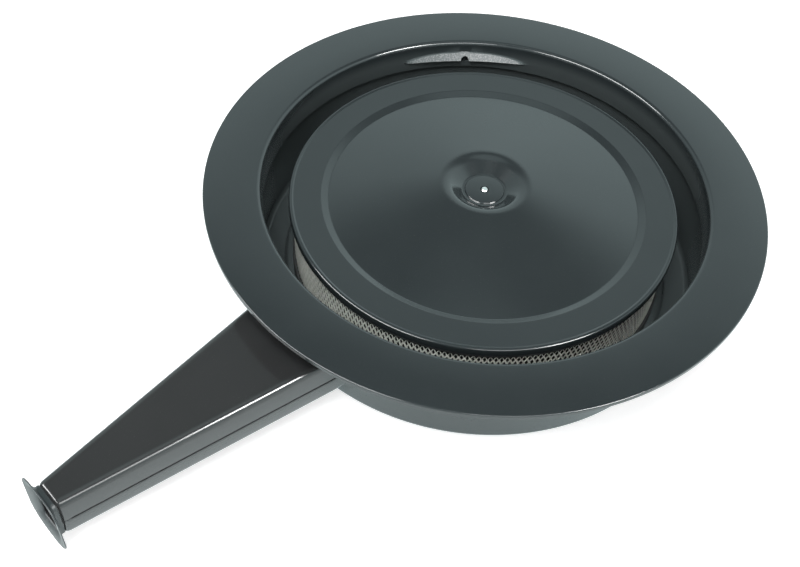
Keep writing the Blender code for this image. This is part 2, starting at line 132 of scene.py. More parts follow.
def start_tree(name, sizes):
    """A Geometry Nodes tree with its sizes as named inputs, and a material for its result."""
    tree = bpy.data.node_groups.new(name, "GeometryNodeTree")
    tree.interface.new_socket("Shape", in_out="INPUT", socket_type="NodeSocketGeometry")
    for label, value in sizes.items():
        kind = "NodeSocketInt" if isinstance(value, int) else "NodeSocketFloat"
        tree.interface.new_socket(label, in_out="INPUT", socket_type=kind).default_value = value
    tree.interface.new_socket("Finish", in_out="INPUT", socket_type="NodeSocketMaterial")
    tree.interface.new_socket("Shape", in_out="OUTPUT", socket_type="NodeSocketGeometry")
    return tree, put(tree, "NodeGroupInput").outputs


def end_tree(tree, shape, finish, merge=TOUCHING):
    """Close a tree: realize instances, merge what touches and set the material."""
    real = put(tree, "GeometryNodeRealizeInstances")
    joined = put(tree, "GeometryNodeMergeByDistance")
    dressed = put(tree, "GeometryNodeSetMaterial")
    joined.inputs["Distance"].default_value = merge
    tree.links.new(shape, real.inputs[0])
    tree.links.new(real.outputs[0], joined.inputs["Geometry"])
    tree.links.new(joined.outputs[0], dressed.inputs["Geometry"])
    tree.links.new(finish, dressed.inputs["Material"])
    tree.links.new(dressed.outputs[0], put(tree, "NodeGroupOutput").inputs[0])


def grow(name, seed, tree, sizes, finish):
    """Run a tree on a seed mesh and keep the result as a plain mesh object at the origin."""
    holder = bpy.data.objects.new(name + "_seed", seed)
    bpy.context.collection.objects.link(holder)
    run = holder.modifiers.new("grow", "NODES")
    run.node_group = tree
    for item in tree.interface.items_tree:
        if item.in_out == "INPUT" and item.name in sizes:
            run[item.identifier] = sizes[item.name]
        elif item.in_out == "INPUT" and item.name == "Finish":
            run[item.identifier] = finish
    evaluated = holder.evaluated_get(bpy.context.evaluated_depsgraph_get())
    mesh = bpy.data.meshes.new_from_object(evaluated)
    bpy.data.objects.remove(holder)
    return settle(name, mesh, finish)


def settle(name, mesh, finish):
    """Turn faces outward, shade smooth but for creases, and put the mesh into an object."""
    shell = bmesh.new()
    shell.from_mesh(mesh)
    bmesh.ops.recalc_face_normals(shell, faces=shell.faces)
    shell.to_mesh(mesh)
    shell.free()
    mesh.shade_smooth()
    mesh.set_sharp_from_angle(angle=CREASE)
    mesh.materials.clear()
    mesh.materials.append(finish)
    piece = bpy.data.objects.new(name, mesh)
    bpy.context.collection.objects.link(piece)
    return piece


def keep(name, shell, finish):
    """Put a finished bmesh shell into an object."""
    mesh = bpy.data.meshes.new(name)
    shell.to_mesh(mesh)
    shell.free()
    return settle(name, mesh, finish)


def stand_for(piece, node):
    """The piece takes a CAD node's place."""
    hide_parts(node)
    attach(piece, "root")


def toward(start, end):
    """Unit vector between two points of a section."""
    step = Vector(end) - Vector(start)
    return step.normalized()


def filleted(corners):
    """A section path from (radius, height, fillet) corners, with each fillet as a fine arc."""
    path = []
    for index, (radius, height, fillet) in enumerate(corners):
        corner = Vector((radius, height))
        if fillet == 0.0:
            path.append(corner)
            continue
        back = toward(corner, corners[index - 1][:2])
        ahead = toward(corner, corners[index + 1][:2])
        half = back.angle(ahead) / 2
        centre = corner + (back + ahead).normalized() * fillet / math.sin(half)
        first = corner + back * fillet / math.tan(half) - centre
        turn = math.pi - 2 * half
        if back.cross(ahead) > 0:
            turn = -turn
        steps = max(2, math.ceil(abs(turn) / ARC_STEP))
        for step in range(steps + 1):
            path.append(centre + Matrix.Rotation(turn * step / steps, 2) @ first)
    return path


def thickened(path):
    """Closed outline of a sheet: the path, and its copy one sheet to the left, back to the start."""
    inner = []
    for index, point in enumerate(path):
        before = toward(path[index - 1], point) if index else toward(point, path[1])
        after = toward(point, path[index + 1]) if index < len(path) - 1 else before
        left = (before.orthogonal() + after.orthogonal()).normalized()
        inner.append(point + left * SHEET / left.dot(before.orthogonal()))
    return path + inner[::-1]


def part_turn(tree, step, steps):
    """The angle of a step, where so many steps make a full turn."""
    return maths(tree, "MULTIPLY", maths(tree, "DIVIDE", step, steps), 2 * math.pi)


def round_axis(tree, radius, angle, height):
    """A place from its distance to the pan's axis, its angle and its height."""
    place = put(tree, "ShaderNodeCombineXYZ")
    tree.links.new(maths(tree, "MULTIPLY", radius, maths(tree, "COSINE", angle)), place.inputs["X"])
    tree.links.new(maths(tree, "MULTIPLY", radius, maths(tree, "SINE", angle)), place.inputs["Y"])
    tree.links.new(height, place.inputs["Z"])
    return place.outputs[0]


def move_points(tree, shape, place):
    """The shape with its points put at the given places."""
    moved = put(tree, "GeometryNodeSetPosition")
    tree.links.new(shape, moved.inputs["Geometry"])
    tree.links.new(place, moved.inputs["Position"])
    return moved.outputs[0]


def turning_tree():
    """Geometry Nodes: turns a closed (radius, height) outline about the pan's axis."""
    tree, sizes = start_tree("turned_pressing", {"Segments": 240})
    points = put(tree, "GeometryNodeAttributeDomainSize")
    tree.links.new(sizes["Shape"], points.inputs["Geometry"])
    outline_points = points.outputs["Point Count"]
    rows = maths(tree, "ADD", outline_points, 1.0)
    grid = put(tree, "GeometryNodeMeshGrid")
    tree.links.new(maths(tree, "ADD", sizes["Segments"], 1.0), grid.inputs["Vertices X"])
    tree.links.new(rows, grid.inputs["Vertices Y"])
    index = put(tree, "GeometryNodeInputIndex").outputs[0]
    along = maths(tree, "MODULO", maths(tree, "MODULO", index, rows), outline_points)
    turn = maths(tree, "FLOOR", maths(tree, "DIVIDE", index, rows))
    outline = put(tree, "GeometryNodeSampleIndex", data_type="FLOAT_VECTOR", domain="POINT")
    tree.links.new(sizes["Shape"], outline.inputs["Geometry"])
    tree.links.new(put(tree, "GeometryNodeInputPosition").outputs[0], outline.inputs["Value"])
    tree.links.new(along, outline.inputs["Index"])
    point = put(tree, "ShaderNodeSeparateXYZ")
    tree.links.new(outline.outputs["Value"], point.inputs[0])
    angle = part_turn(tree, turn, sizes["Segments"])
    place = round_axis(tree, point.outputs["X"], angle, point.outputs["Z"])
    end_tree(tree, move_points(tree, grid.outputs["Mesh"], place), sizes["Finish"])
    return tree


TURNED_PRESSING = turning_tree()


def turned(name, outline, finish, segments=240):
    """A turned piece from its closed outline."""
    seed = bpy.data.meshes.new(name + "_outline")
    count = len(outline)
    edges = [(step, (step + 1) % count) for step in range(count)]
    seed.from_pydata([(radius, 0.0, height) for radius, height in outline], edges, [])
    return grow(name, seed, TURNED_PRESSING, {"Segments": segments}, finish)


def start_finish(name, colours, numbers):
    """A shader group with named inputs; it puts out a colour, a roughness and a bump height."""
    tree = bpy.data.node_groups.new(name, "ShaderNodeTree")
    for side, kind, labels in (("INPUT", "NodeSocketColor", colours), ("INPUT", "NodeSocketFloat", numbers),
                               ("OUTPUT", "NodeSocketColor", ["Colour"]),
                               ("OUTPUT", "NodeSocketFloat", ["Roughness", "Height"])):
        for label in labels:
            tree.interface.new_socket(label, in_out=side, socket_type=kind)
    return tree, put(tree, "NodeGroupInput").outputs, put(tree, "NodeGroupOutput").inputs


def noise(tree, scale, detail):
    """Noise on the piece's own coordinates; returns its strength."""
    texture = put(tree, "ShaderNodeTexNoise")
    tree.links.new(put(tree, "ShaderNodeTexCoord").outputs["Object"], texture.inputs["Vector"])
    feed(tree, scale, texture.inputs["Scale"])
    feed(tree, detail, texture.inputs["Detail"])
    return texture.outputs["Fac"]


def paint_group():
    """Shader group for sprayed paint: mottle, orange peel, dust specks, painted light in the well and a
    painted highlight.
    """
    tree, given, result = start_finish("sprayed_paint", ["Colour", "Lighter"], [
        "Mottle Scale", "Peel Scale", "Rough Low", "Rough High", "Dust", "Painted Light Within", "Painted Light Below",
        "Painted Glint Within"])
    place = put(tree, "ShaderNodeSeparateXYZ")
    tree.links.new(put(tree, "ShaderNodeTexCoord").outputs["Object"], place.inputs[0])
    x, y, z = place.outputs
    radius = maths(tree, "SQRT", maths(tree, "ADD", maths(tree, "MULTIPLY", x, x),
                                       maths(tree, "MULTIPLY", y, y)))
    mottle = noise(tree, given["Mottle Scale"], detail=3.0)
    shade = mixed(tree, mottle, given["Colour"], given["Lighter"])
    specks = ramp(tree, noise(tree, SPECK_SCALE, detail=0.0), *SPECK_EDGE, 0.0, 1.0)
    specked = mixed(tree, maths(tree, "MULTIPLY", specks, given["Dust"]), shade, SPECK_COLOUR)
    # Painted light in the well: below a height and inside a radius the colour turns lighter.
    light_fade = ramp(tree, maths(tree, "SUBTRACT", z, given["Painted Light Below"]), -WELL_LIGHT_FADE, 0.0, WELL_LIGHT_SHARE, 0.0)
    well_painted_light = maths(tree, "MULTIPLY", maths(tree, "LESS_THAN", radius, given["Painted Light Within"]), light_fade)
    with_painted_light = mixed(tree, well_painted_light, specked, WELL_PAINTED_LIGHT)
    # Painted highlight: light grainy patches inside a radius.
    glint_patches = ramp(tree, noise(tree, PAINTED_GLINT_SCALE, detail=4.0), *PAINTED_GLINT_EDGE, *PAINTED_GLINT_SHARE)
    painted_glint = maths(tree, "MULTIPLY", maths(tree, "LESS_THAN", radius, given["Painted Glint Within"]), glint_patches)
    rough = ramp(tree, mottle, 0.3, 0.7, given["Rough Low"], given["Rough High"], "LINEAR")
    tree.links.new(mixed(tree, painted_glint, with_painted_light, PAINTED_GLINT_COLOUR), result["Colour"])
    tree.links.new(rough, result["Roughness"])
    tree.links.new(noise(tree, given["Peel Scale"], detail=1.0), result["Height"])
    return tree


SPRAYED_PAINT = paint_group()


def surface(name, group, settings, peel, bump_distance, metallic=0.0):
    """A material whose Principled shader takes colour, roughness and bump from a finish group."""
    material = bpy.data.materials.new(name)
    material.use_nodes = True
    tree = material.node_tree
    shader = tree.nodes["Principled BSDF"]
    shader.inputs["Metallic"].default_value = metallic
    finish = put(tree, "ShaderNodeGroup")
    finish.node_tree = group
    for label, value in settings.items():
        finish.inputs[label].default_value = value
    bump = put(tree, "ShaderNodeBump")
    bump.inputs["Strength"].default_value = peel
    bump.inputs["Distance"].default_value = bump_distance
    tree.links.new(finish.outputs["Height"], bump.inputs["Height"])
    tree.links.new(finish.outputs["Colour"], shader.inputs["Base Color"])
    tree.links.new(finish.outputs["Roughness"], shader.inputs["Roughness"])
    tree.links.new(bump.outputs["Normal"], shader.inputs["Normal"])
    return material


def black_paint(name, roughness, painted_light_within=0.0, painted_light_below=0.0, painted_glint_within=0.0,
                colour=PAINT_COLOUR, lighter=PAINT_LIGHTER):
    """Black paint of about this roughness; the painted light of the well and the painted highlight lie
    inside the given radii.
    """
    return surface(name, SPRAYED_PAINT, {
        "Colour": colour, "Lighter": lighter, "Mottle Scale": 22.0, "Peel Scale": 520.0,
        "Rough Low": roughness * ROUGH_LEAST, "Rough High": roughness * ROUGH_MOST, "Dust": 0.07,
        "Painted Light Within": painted_light_within, "Painted Light Below": painted_light_below, "Painted Glint Within": painted_glint_within,
    }, peel=0.10, bump_distance=0.00003)


# Inside the pan, below its rim, the paint carries the painted light of the well.
PAN_PAINT = black_paint("pan_paint", 0.22, PAN_WALL_RADIUS - SHEET / 2, PAN_RIM_Z)

carb_seat_z = FOOT_DROP + CARB_SEAT_RISE
carb_seat_radius = NECK_RADIUS + CARB_SEAT_WIDTH
pan_outline = thickened(filleted([
    (NECK_RADIUS, carb_seat_z + NECK_HEIGHT, 0.0),
    (NECK_RADIUS, carb_seat_z, PRESS_FILLET),
    (carb_seat_radius, carb_seat_z, PRESS_FILLET),
    (carb_seat_radius + CARB_SEAT_SLOPE, FOOT_DROP, PRESS_FILLET),
    (FILTER_SEAT_RADIUS, FOOT_DROP, PRESS_FILLET),
    (FILTER_SEAT_RADIUS + FOOT_SLOPE, 0.0, PRESS_FILLET),
    (PAN_WALL_RADIUS, 0.0, PAN_CORNER),
    (PAN_WALL_RADIUS, PAN_RIM_Z, PRESS_FILLET),
    (PAN_WALL_RADIUS + PAN_RIM_WIDTH, PAN_RIM_Z, 0.0),
]))
base_pan = turned("pan", pan_outline, PAN_PAINT)


# Snorkel sizes. The duct narrows from the pan wall to the mouth; both halves, the mouth and the
# opening in the pan's wall are worked out from this one tapered section.

SNORKEL_LENGTH = 0.2480
END_X = PAN_WALL_RADIUS + SNORKEL_LENGTH
ROOT_WIDTH, END_WIDTH = 0.0978, 0.0286
ROOT_HEIGHT, END_HEIGHT = 0.0457, 0.0436
ROOT_Z, END_Z = 0.0468, 0.0416
TOP_CORNER, BOTTOM_CORNER = 0.0062, 0.0060
OPENING_MARGIN = 0.0014
CUTTER_START = 0.85
SECTION_STEPS = 6


def tapered(x, root, end):
    """A duct size at distance x from the pan's axis."""
    return root + (end - root) * (x - PAN_WALL_RADIUS) / SNORKEL_LENGTH


def duct(x, grow_by):
    """Half width, top and bottom of the duct at x, grown all round by an amount."""
    half_width = tapered(x, ROOT_WIDTH, END_WIDTH) / 2 + grow_by
    half_height = tapered(x, ROOT_HEIGHT, END_HEIGHT) / 2 + grow_by
    middle = tapered(x, ROOT_Z, END_Z)
    return half_width, middle + half_height, middle - half_height


def rounded_rectangle(x, grow_by, corner, steps):
    """The duct's closed section at x as (y, z) points."""
    half_width, top, bottom = duct(x, grow_by)
    ring = []
    for side, level, start in ((1, top, 0), (-1, top, 90), (-1, bottom, 180), (1, bottom, 270)):
        rise = 1 if level == top else -1
        for step in range(steps + 1):
            angle = math.radians(start + 90 * step / steps)
            y = side * (half_width - corner) + corner * math.cos(angle)
            ring.append((y, level - rise * corner + corner * math.sin(angle)))
    return ring


def skin_between(shell, loops, closed):
    """Quads between consecutive closed loops of vertices."""
    pairs = list(zip(loops, loops[1:]))
    if closed:
        pairs.append((loops[-1], loops[0]))
    for loop, following in pairs:
        for step in range(len(loop)):
            after = (step + 1) % len(loop)
            shell.faces.new((loop[step], loop[after], following[after], following[step]))


def cut_away(piece, cutter, name, finish):
    """Cut one closed solid out of a piece; returns the piece that is left."""
    cut = piece.modifiers.new("cut", "BOOLEAN")
    cut.operation, cut.solver, cut.object = "DIFFERENCE", "EXACT", cutter
    mesh = bpy.data.meshes.new_from_object(piece.evaluated_get(bpy.context.evaluated_depsgraph_get()))
    bpy.data.objects.remove(piece)
    bpy.data.objects.remove(cutter)
    return settle(name, mesh, finish)


def cut_snorkel_opening(pan):
    """Cut the duct's section out of the pan's wall."""
    ring = rounded_rectangle(PAN_WALL_RADIUS, -SHEET - OPENING_MARGIN, TOP_CORNER, SECTION_STEPS)
    body = bmesh.new()
    ends = []
    for x in (PAN_WALL_RADIUS * CUTTER_START, PAN_WALL_RADIUS + PAN_RIM_WIDTH):
        ends.append([body.verts.new((x, y, z)) for y, z in ring])
        body.faces.new(ends[-1])
    skin_between(body, ends, False)
    return cut_away(pan, keep("opening_cutter", body, PAN_PAINT), "pan_with_opening", PAN_PAINT)


base_pan = cut_snorkel_opening(base_pan)
stand_for(base_pan, "base_pan")


# Carburetor gasket. A flat ring of dense cork and rubber, stamped from sheet; it lies loose in the
# recess under the neck and is squeezed on the carburetor when the stud is drawn down.

GASKET_INNER_RADIUS = 0.0674
GASKET_OUTER_RADIUS = 0.0807
GASKET_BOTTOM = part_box("carb_gasket")[0][2]
GASKET_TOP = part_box("carb_gasket")[1][2]


def moulded_group():
    """Shader group for moulded or pressed soft parts: fine grain and a soft mottle."""
    tree, given, result = start_finish("moulded_grain", ["Dark", "Light"],
                                       ["Grain Scale", "Rough Low", "Rough High"])
    grain = noise(tree, given["Grain Scale"], detail=5.0)
    spread = ramp(tree, grain, 0.35, 0.65, 0.0, 1.0, "LINEAR")
    rough = ramp(tree, spread, 0.0, 1.0, given["Rough Low"], given["Rough High"], "LINEAR")
    tree.links.new(mixed(tree, spread, given["Dark"], given["Light"]), result["Colour"])
    tree.links.new(rough, result["Roughness"])
    tree.links.new(grain, result["Height"])
    return tree


MOULDED_GRAIN = moulded_group()

gasket_sheet = surface("gasket_sheet", MOULDED_GRAIN, {
    "Dark": (0.020, 0.018, 0.016, 1.0), "Light": (0.060, 0.050, 0.040, 1.0), "Grain Scale": 420.0,
    "Rough Low": 0.72, "Rough High": 0.92}, peel=0.35, bump_distance=0.0001)
gasket = turned("gasket", [
    (GASKET_INNER_RADIUS, GASKET_BOTTOM), (GASKET_OUTER_RADIUS, GASKET_BOTTOM),
    (GASKET_OUTER_RADIUS, GASKET_TOP), (GASKET_INNER_RADIUS, GASKET_TOP)], gasket_sheet, segments=160)
stand_for(gasket, "carb_gasket")


# Ring filter. Pleated paper stands between two sleeves of expanded metal, and both ends are cast
# into soft moulded rings, which seal on the pan's floor and under the lid.

FILTER_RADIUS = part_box("filter_top_seal")[1][0]
FILTER_BORE = 0.1500
SEAL_ROUND = 0.0020
SEAL_START = 0.0001
SCREEN_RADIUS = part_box("filter_outer_screen")[1][0]
SCREEN_BORE = FILTER_BORE + 0.0018
SCREEN_THICK = 0.0004
SCREEN_ROWS = 5
STRAND = 0.0015
STRAND_TWIST = 0.8
STRAND_SWING = 0.0006
STRANDS_TOUCH = 0.00001
PLEATS = 200
PAPER_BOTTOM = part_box("filter_paper")[0][2]
PAPER_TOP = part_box("filter_paper")[1][2]
PAPER_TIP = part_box("filter_paper")[1][0]
PAPER_ROOT = FILTER_BORE + 0.0029
PAPER_THICK = 0.0005

seal_compound = surface("seal_compound", MOULDED_GRAIN, {
    "Dark": (0.045, 0.048, 0.048, 1.0), "Light": (0.075, 0.080, 0.078, 1.0), "Grain Scale": 260.0,
    "Rough Low": 0.48, "Rough High": 0.66}, peel=0.15, bump_distance=0.0001)
for node in ("filter_bottom_seal", "filter_top_seal"):
    low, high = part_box(node)[0][2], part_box(node)[1][2]
    middle = (low + high) / 2
    seal = turned(node.replace("filter", "moulded"), filleted([
        (FILTER_BORE, middle, 0.0),
        (FILTER_BORE, low, SEAL_ROUND),
        (FILTER_RADIUS, low, SEAL_ROUND),
        (FILTER_RADIUS, high, SEAL_ROUND),
        (FILTER_BORE, high, SEAL_ROUND),
        (FILTER_BORE, middle + SEAL_START, 0.0)]), seal_compound)
    stand_for(seal, node)


def pleated_tree():
    """Geometry Nodes: a zigzag ring of paper, folded between a tip and a root radius."""
    tree, sizes = start_tree("pleated_paper", {
        "Pleats": 180, "Tip Radius": 0.17, "Root Radius": 0.15, "Bottom": 0.0, "Top": 0.05, "Paper": 0.0005})
    corners = 4
    rows = corners + 1
    grid = put(tree, "GeometryNodeMeshGrid")
    folds = maths(tree, "MULTIPLY", sizes["Pleats"], 2.0)
    tree.links.new(maths(tree, "ADD", folds, 1.0), grid.inputs["Vertices X"])
    grid.inputs["Vertices Y"].default_value = rows
    index = put(tree, "GeometryNodeInputIndex").outputs[0]
    corner = maths(tree, "MODULO", maths(tree, "MODULO", index, rows), corners)
    fold = maths(tree, "FLOOR", maths(tree, "DIVIDE", index, rows))
    at_tip = maths(tree, "MODULO", fold, 2.0)
    between = maths(tree, "MULTIPLY", corner, maths(tree, "SUBTRACT", corners - 1, corner))
    on_top = maths(tree, "GREATER_THAN", between, 1.0)
    inside = maths(tree, "GREATER_THAN", corner, 1.5)
    root_front = maths(tree, "ADD", sizes["Root Radius"], sizes["Paper"])
    depth = maths(tree, "SUBTRACT", sizes["Tip Radius"], root_front)
    front = maths(tree, "ADD", root_front, maths(tree, "MULTIPLY", at_tip, depth))
    radius = maths(tree, "SUBTRACT", front, maths(tree, "MULTIPLY", inside, sizes["Paper"]))
    tall = maths(tree, "SUBTRACT", sizes["Top"], sizes["Bottom"])
    height = maths(tree, "ADD", sizes["Bottom"], maths(tree, "MULTIPLY", on_top, tall))
    place = round_axis(tree, radius, part_turn(tree, fold, folds), height)
    end_tree(tree, move_points(tree, grid.outputs["Mesh"], place), sizes["Finish"])
    return tree


# The paper is painted near black: a painted shade for the dark gaps between the screen's strands.
paper_painted_shade = surface("filter_paper_painted_shade", MOULDED_GRAIN, {
    "Dark": (0.018, 0.017, 0.014, 1.0), "Light": (0.034, 0.031, 0.026, 1.0), "Grain Scale": 900.0,
    "Rough Low": 0.85, "Rough High": 0.98}, peel=0.2, bump_distance=0.0001)
paper = grow("pleats", bpy.data.meshes.new("pleats_seed"), pleated_tree(), {
    "Pleats": PLEATS, "Tip Radius": PAPER_TIP, "Root Radius": PAPER_ROOT, "Bottom": PAPER_BOTTOM,
    "Top": PAPER_TOP, "Paper": PAPER_THICK}, paper_painted_shade)
stand_for(paper, "filter_paper")


def diamond_cell(half_wide, half_high):
    """One diamond of expanded metal, 1 by 1, in the XZ plane; its strands are a little twisted."""
    opening = 1.0 - STRAND / 2 * math.hypot(half_wide, half_high) / (half_wide * half_high)
    cell = bmesh.new()
    skins = []
    for share, twist, depth in ((1.0, 0.0, 0.5), (1.0, 0.0, -0.5), (opening, STRAND_TWIST, 0.5),
                                (opening, STRAND_TWIST, -0.5)):
        corners = ((0.5, 0.0), (0.0, 0.5), (-0.5, 0.0), (0.0, -0.5))
        skins.append([cell.verts.new((x * share, depth + 2 * x * twist, z * share)) for x, z in corners])
    rim_front, rim_back, hole_front, hole_back = skins
    for side in range(4):
        after = (side + 1) % 4
        for first, second in ((rim_front, hole_front), (hole_back, rim_back), (hole_front, hole_back)):
            cell.faces.new((first[side], first[after], second[after], second[side]))
    mesh = bpy.data.meshes.new("diamond")
    cell.to_mesh(mesh)
    cell.free()
    return mesh


def sleeve_tree():
    """Geometry Nodes: diamonds side by side in staggered rows, wrapped round the pan's axis."""
    tree, sizes = start_tree("expanded_metal_sleeve", {
        "Columns": 180, "Rows": 12, "Radius": 0.17, "Bottom": 0.0, "Top": 0.05, "Thickness": 0.0006})
    grid = put(tree, "GeometryNodeMeshGrid")
    half_rows = maths(tree, "SUBTRACT", maths(tree, "MULTIPLY", sizes["Rows"], 2.0), 1.0)
    tree.links.new(sizes["Columns"], grid.inputs["Vertices X"])
    tree.links.new(half_rows, grid.inputs["Vertices Y"])
    index = put(tree, "GeometryNodeInputIndex").outputs[0]
    row = maths(tree, "MODULO", index, half_rows)
    column = maths(tree, "FLOOR", maths(tree, "DIVIDE", index, half_rows))
    shifted = maths(tree, "ADD", column, maths(tree, "MULTIPLY", maths(tree, "MODULO", row, 2.0), 0.5))
    seat = put(tree, "ShaderNodeCombineXYZ")
    tree.links.new(shifted, seat.inputs["X"])
    tree.links.new(maths(tree, "MULTIPLY", maths(tree, "ADD", row, 1.0), 0.5), seat.inputs["Z"])
    copies = put(tree, "GeometryNodeInstanceOnPoints")
    tree.links.new(move_points(tree, grid.outputs["Mesh"], seat.outputs[0]), copies.inputs["Points"])
    tree.links.new(sizes["Shape"], copies.inputs["Instance"])
    real = put(tree, "GeometryNodeRealizeInstances")
    tree.links.new(copies.outputs[0], real.inputs[0])
    split = put(tree, "ShaderNodeSeparateXYZ")
    tree.links.new(put(tree, "GeometryNodeInputPosition").outputs[0], split.inputs[0])
    angle = part_turn(tree, split.outputs["X"], sizes["Columns"])
    outward = maths(tree, "MULTIPLY", split.outputs["Y"], sizes["Thickness"])
    radius = maths(tree, "ADD", sizes["Radius"], outward)
    pitch = maths(tree, "DIVIDE", maths(tree, "SUBTRACT", sizes["Top"], sizes["Bottom"]), sizes["Rows"])
    height = maths(tree, "ADD", sizes["Bottom"], maths(tree, "MULTIPLY", split.outputs["Z"], pitch))
    wrapped = move_points(tree, real.outputs[0], round_axis(tree, radius, angle, height))
    end_tree(tree, wrapped, sizes["Finish"], STRANDS_TOUCH)
    return tree


def close_ends(mesh):
    """Join the two skins along the sleeve's upper and lower ends."""
    shell = bmesh.new()
    shell.from_mesh(mesh)
    middle = (PAPER_BOTTOM + PAPER_TOP) / 2
    for above in (True, False):
        rim = [edge for edge in shell.edges if edge.is_boundary and (edge.verts[0].co.z > middle) == above]
        bmesh.ops.bridge_loops(shell, edges=rim)
    shell.to_mesh(mesh)
    shell.free()


EXPANDED_SLEEVE = sleeve_tree()
screen_metal = surface("screen_metal", MOULDED_GRAIN, {
    "Dark": (0.76, 0.80, 0.72, 1.0), "Light": (0.92, 0.95, 0.88, 1.0), "Grain Scale": 300.0,
    "Rough Low": 0.42, "Rough High": 0.62}, peel=0.2, bump_distance=0.0001)
for node, radius, columns in (("filter_outer_screen", SCREEN_RADIUS - STRAND_SWING, 228),
                              ("filter_inner_screen", SCREEN_BORE + STRAND_SWING, 192)):
    cell = diamond_cell(math.pi * radius / columns, (PAPER_TOP - PAPER_BOTTOM) / (2 * SCREEN_ROWS))
    sleeve = grow(node.replace("filter", "expanded"), cell, EXPANDED_SLEEVE, {
        "Columns": columns, "Rows": SCREEN_ROWS, "Radius": radius, "Bottom": PAPER_BOTTOM, "Top": PAPER_TOP,
        "Thickness": SCREEN_THICK}, screen_metal)
    close_ends(sleeve.data)
    stand_for(sleeve, node)


# Seal flange. A wide flat ring, pressed from the same sheet and spot-welded on the pan's rim; its
# outer edge is turned down, and its inner edge rolls into a skirt that hangs inside the pan. One
# half-moon bulge is pressed in the skirt, with a small round hole on its lower edge.

FLANGE_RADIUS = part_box("seal_flange")[1][0]
FLANGE_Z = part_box("seal_flange")[1][2]
FLANGE_LIP = 0.0040
FLANGE_EDGE = 0.0013
WELL_RADIUS = 0.2020
WELL_ROLL = 0.0040
WELL_SKIRT = 0.0300

BULGE_BEARING = math.radians(230.5)
BULGE_HALF_ANGLE = math.radians(18.0)
BULGE_Z = FLANGE_Z - 0.0196
BULGE_HEIGHT = 0.0080
BULGE_DEPTH = 0.0054
BULGE_RETURN = 0.0012
BULGE_ROWS = 10
BULGE_HOLE = 0.0042
DRILL_LENGTH = 0.0160
DRILL_INSET = 0.0050


def press_bulge(ring):
    """Push the skirt inward as a half-moon that leans out of the wall and ends in a level edge."""
    for vertex in ring.data.vertices:
        x, y, z = vertex.co
        radius = math.hypot(x, y)
        across = math.remainder(math.atan2(y, x) - BULGE_BEARING, 2 * math.pi) / BULGE_HALF_ANGLE
        top = BULGE_Z + BULGE_HEIGHT * math.sqrt(max(0.0, 1 - across**2))
        if radius < WELL_RADIUS + 2 * SHEET and BULGE_Z - BULGE_RETURN / 2 < z < top:
            push = BULGE_DEPTH * (top - z) / BULGE_HEIGHT
            vertex.co.x -= push * x / radius
            vertex.co.y -= push * y / radius


def drill_bulge(ring):
    """Drill the round hole through the bulge's lower edge, clear of the pan behind it."""
    body = bmesh.new()
    bmesh.ops.create_cone(body, cap_ends=True, segments=24, radius1=BULGE_HOLE, radius2=BULGE_HOLE,
                          depth=DRILL_LENGTH)
    middle = Vector((WELL_RADIUS - DRILL_INSET, 0.0, BULGE_Z))
    lie_down = Matrix.Translation(middle) @ Matrix.Rotation(math.pi / 2, 4, "Y")
    body.transform(Matrix.Rotation(BULGE_BEARING, 4, "Z") @ lie_down)
    return cut_away(ring, keep("drill", body, flange_paint), "flange_with_hole", flange_paint)


# Paint of the flange: painted light on the skirt below the roll, and a painted highlight of light grainy
# patches on the bulge.
flange_paint = black_paint("flange_paint", 0.14, WELL_RADIUS + 2 * SHEET, FLANGE_Z - WELL_ROLL,
                           WELL_RADIUS - SHEET)
bulge_levels = [BULGE_Z + BULGE_HEIGHT * step / BULGE_ROWS for step in range(BULGE_ROWS, -1, -1)]
flange = turned("flange_ring", thickened(filleted([
    (FLANGE_RADIUS, FLANGE_Z - FLANGE_LIP, 0.0),
    (FLANGE_RADIUS, FLANGE_Z, FLANGE_EDGE),
    (WELL_RADIUS, FLANGE_Z, WELL_ROLL),
    *[(WELL_RADIUS, level, 0.0) for level in bulge_levels],
    (WELL_RADIUS, BULGE_Z - BULGE_RETURN, 0.0),
    (WELL_RADIUS, FLANGE_Z - WELL_SKIRT, 0.0)])), flange_paint, segments=320)
press_bulge(flange)
flange = drill_bulge(flange)
stand_for(flange, "seal_flange")


# Lid. One pressed and painted sheet that lies on the filter: a short skirt, a flat band, a step
# down, a shallow cone rising to a dimple, and in the dimple a small boss round the stud. The edge
# stands a little above the band as a stiffening bead.

LID_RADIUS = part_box("lid")[1][0]
LID_Z = 0.0836
LID_SKIRT = 0.0062
LID_EDGE = 0.0022
BEAD_RISE = 0.0008
BEAD_WIDTH = 0.0030
BEAD_SLOPE = 0.0014
BEAD_FILLET = 0.0010
BAND_INNER = LID_RADIUS - 0.0293
CONE_FOOT = BAND_INNER - 0.0065
STEP_DEPTH = 0.0031
STEP_FILLET = 0.0022
DIMPLE_RADIUS, DIMPLE_RISE, DIMPLE_FILLET = 0.0362, 0.0192, 0.0150
FLOOR_RADIUS, FLOOR_RISE, FLOOR_FILLET = 0.0205, 0.0073, 0.0020
BOSS_FOOT, BOSS_RADIUS, BOSS_HEIGHT, BOSS_EDGE = 0.0182, 0.0174, 0.0011, 0.0006
STUD_HOLE = 0.00378

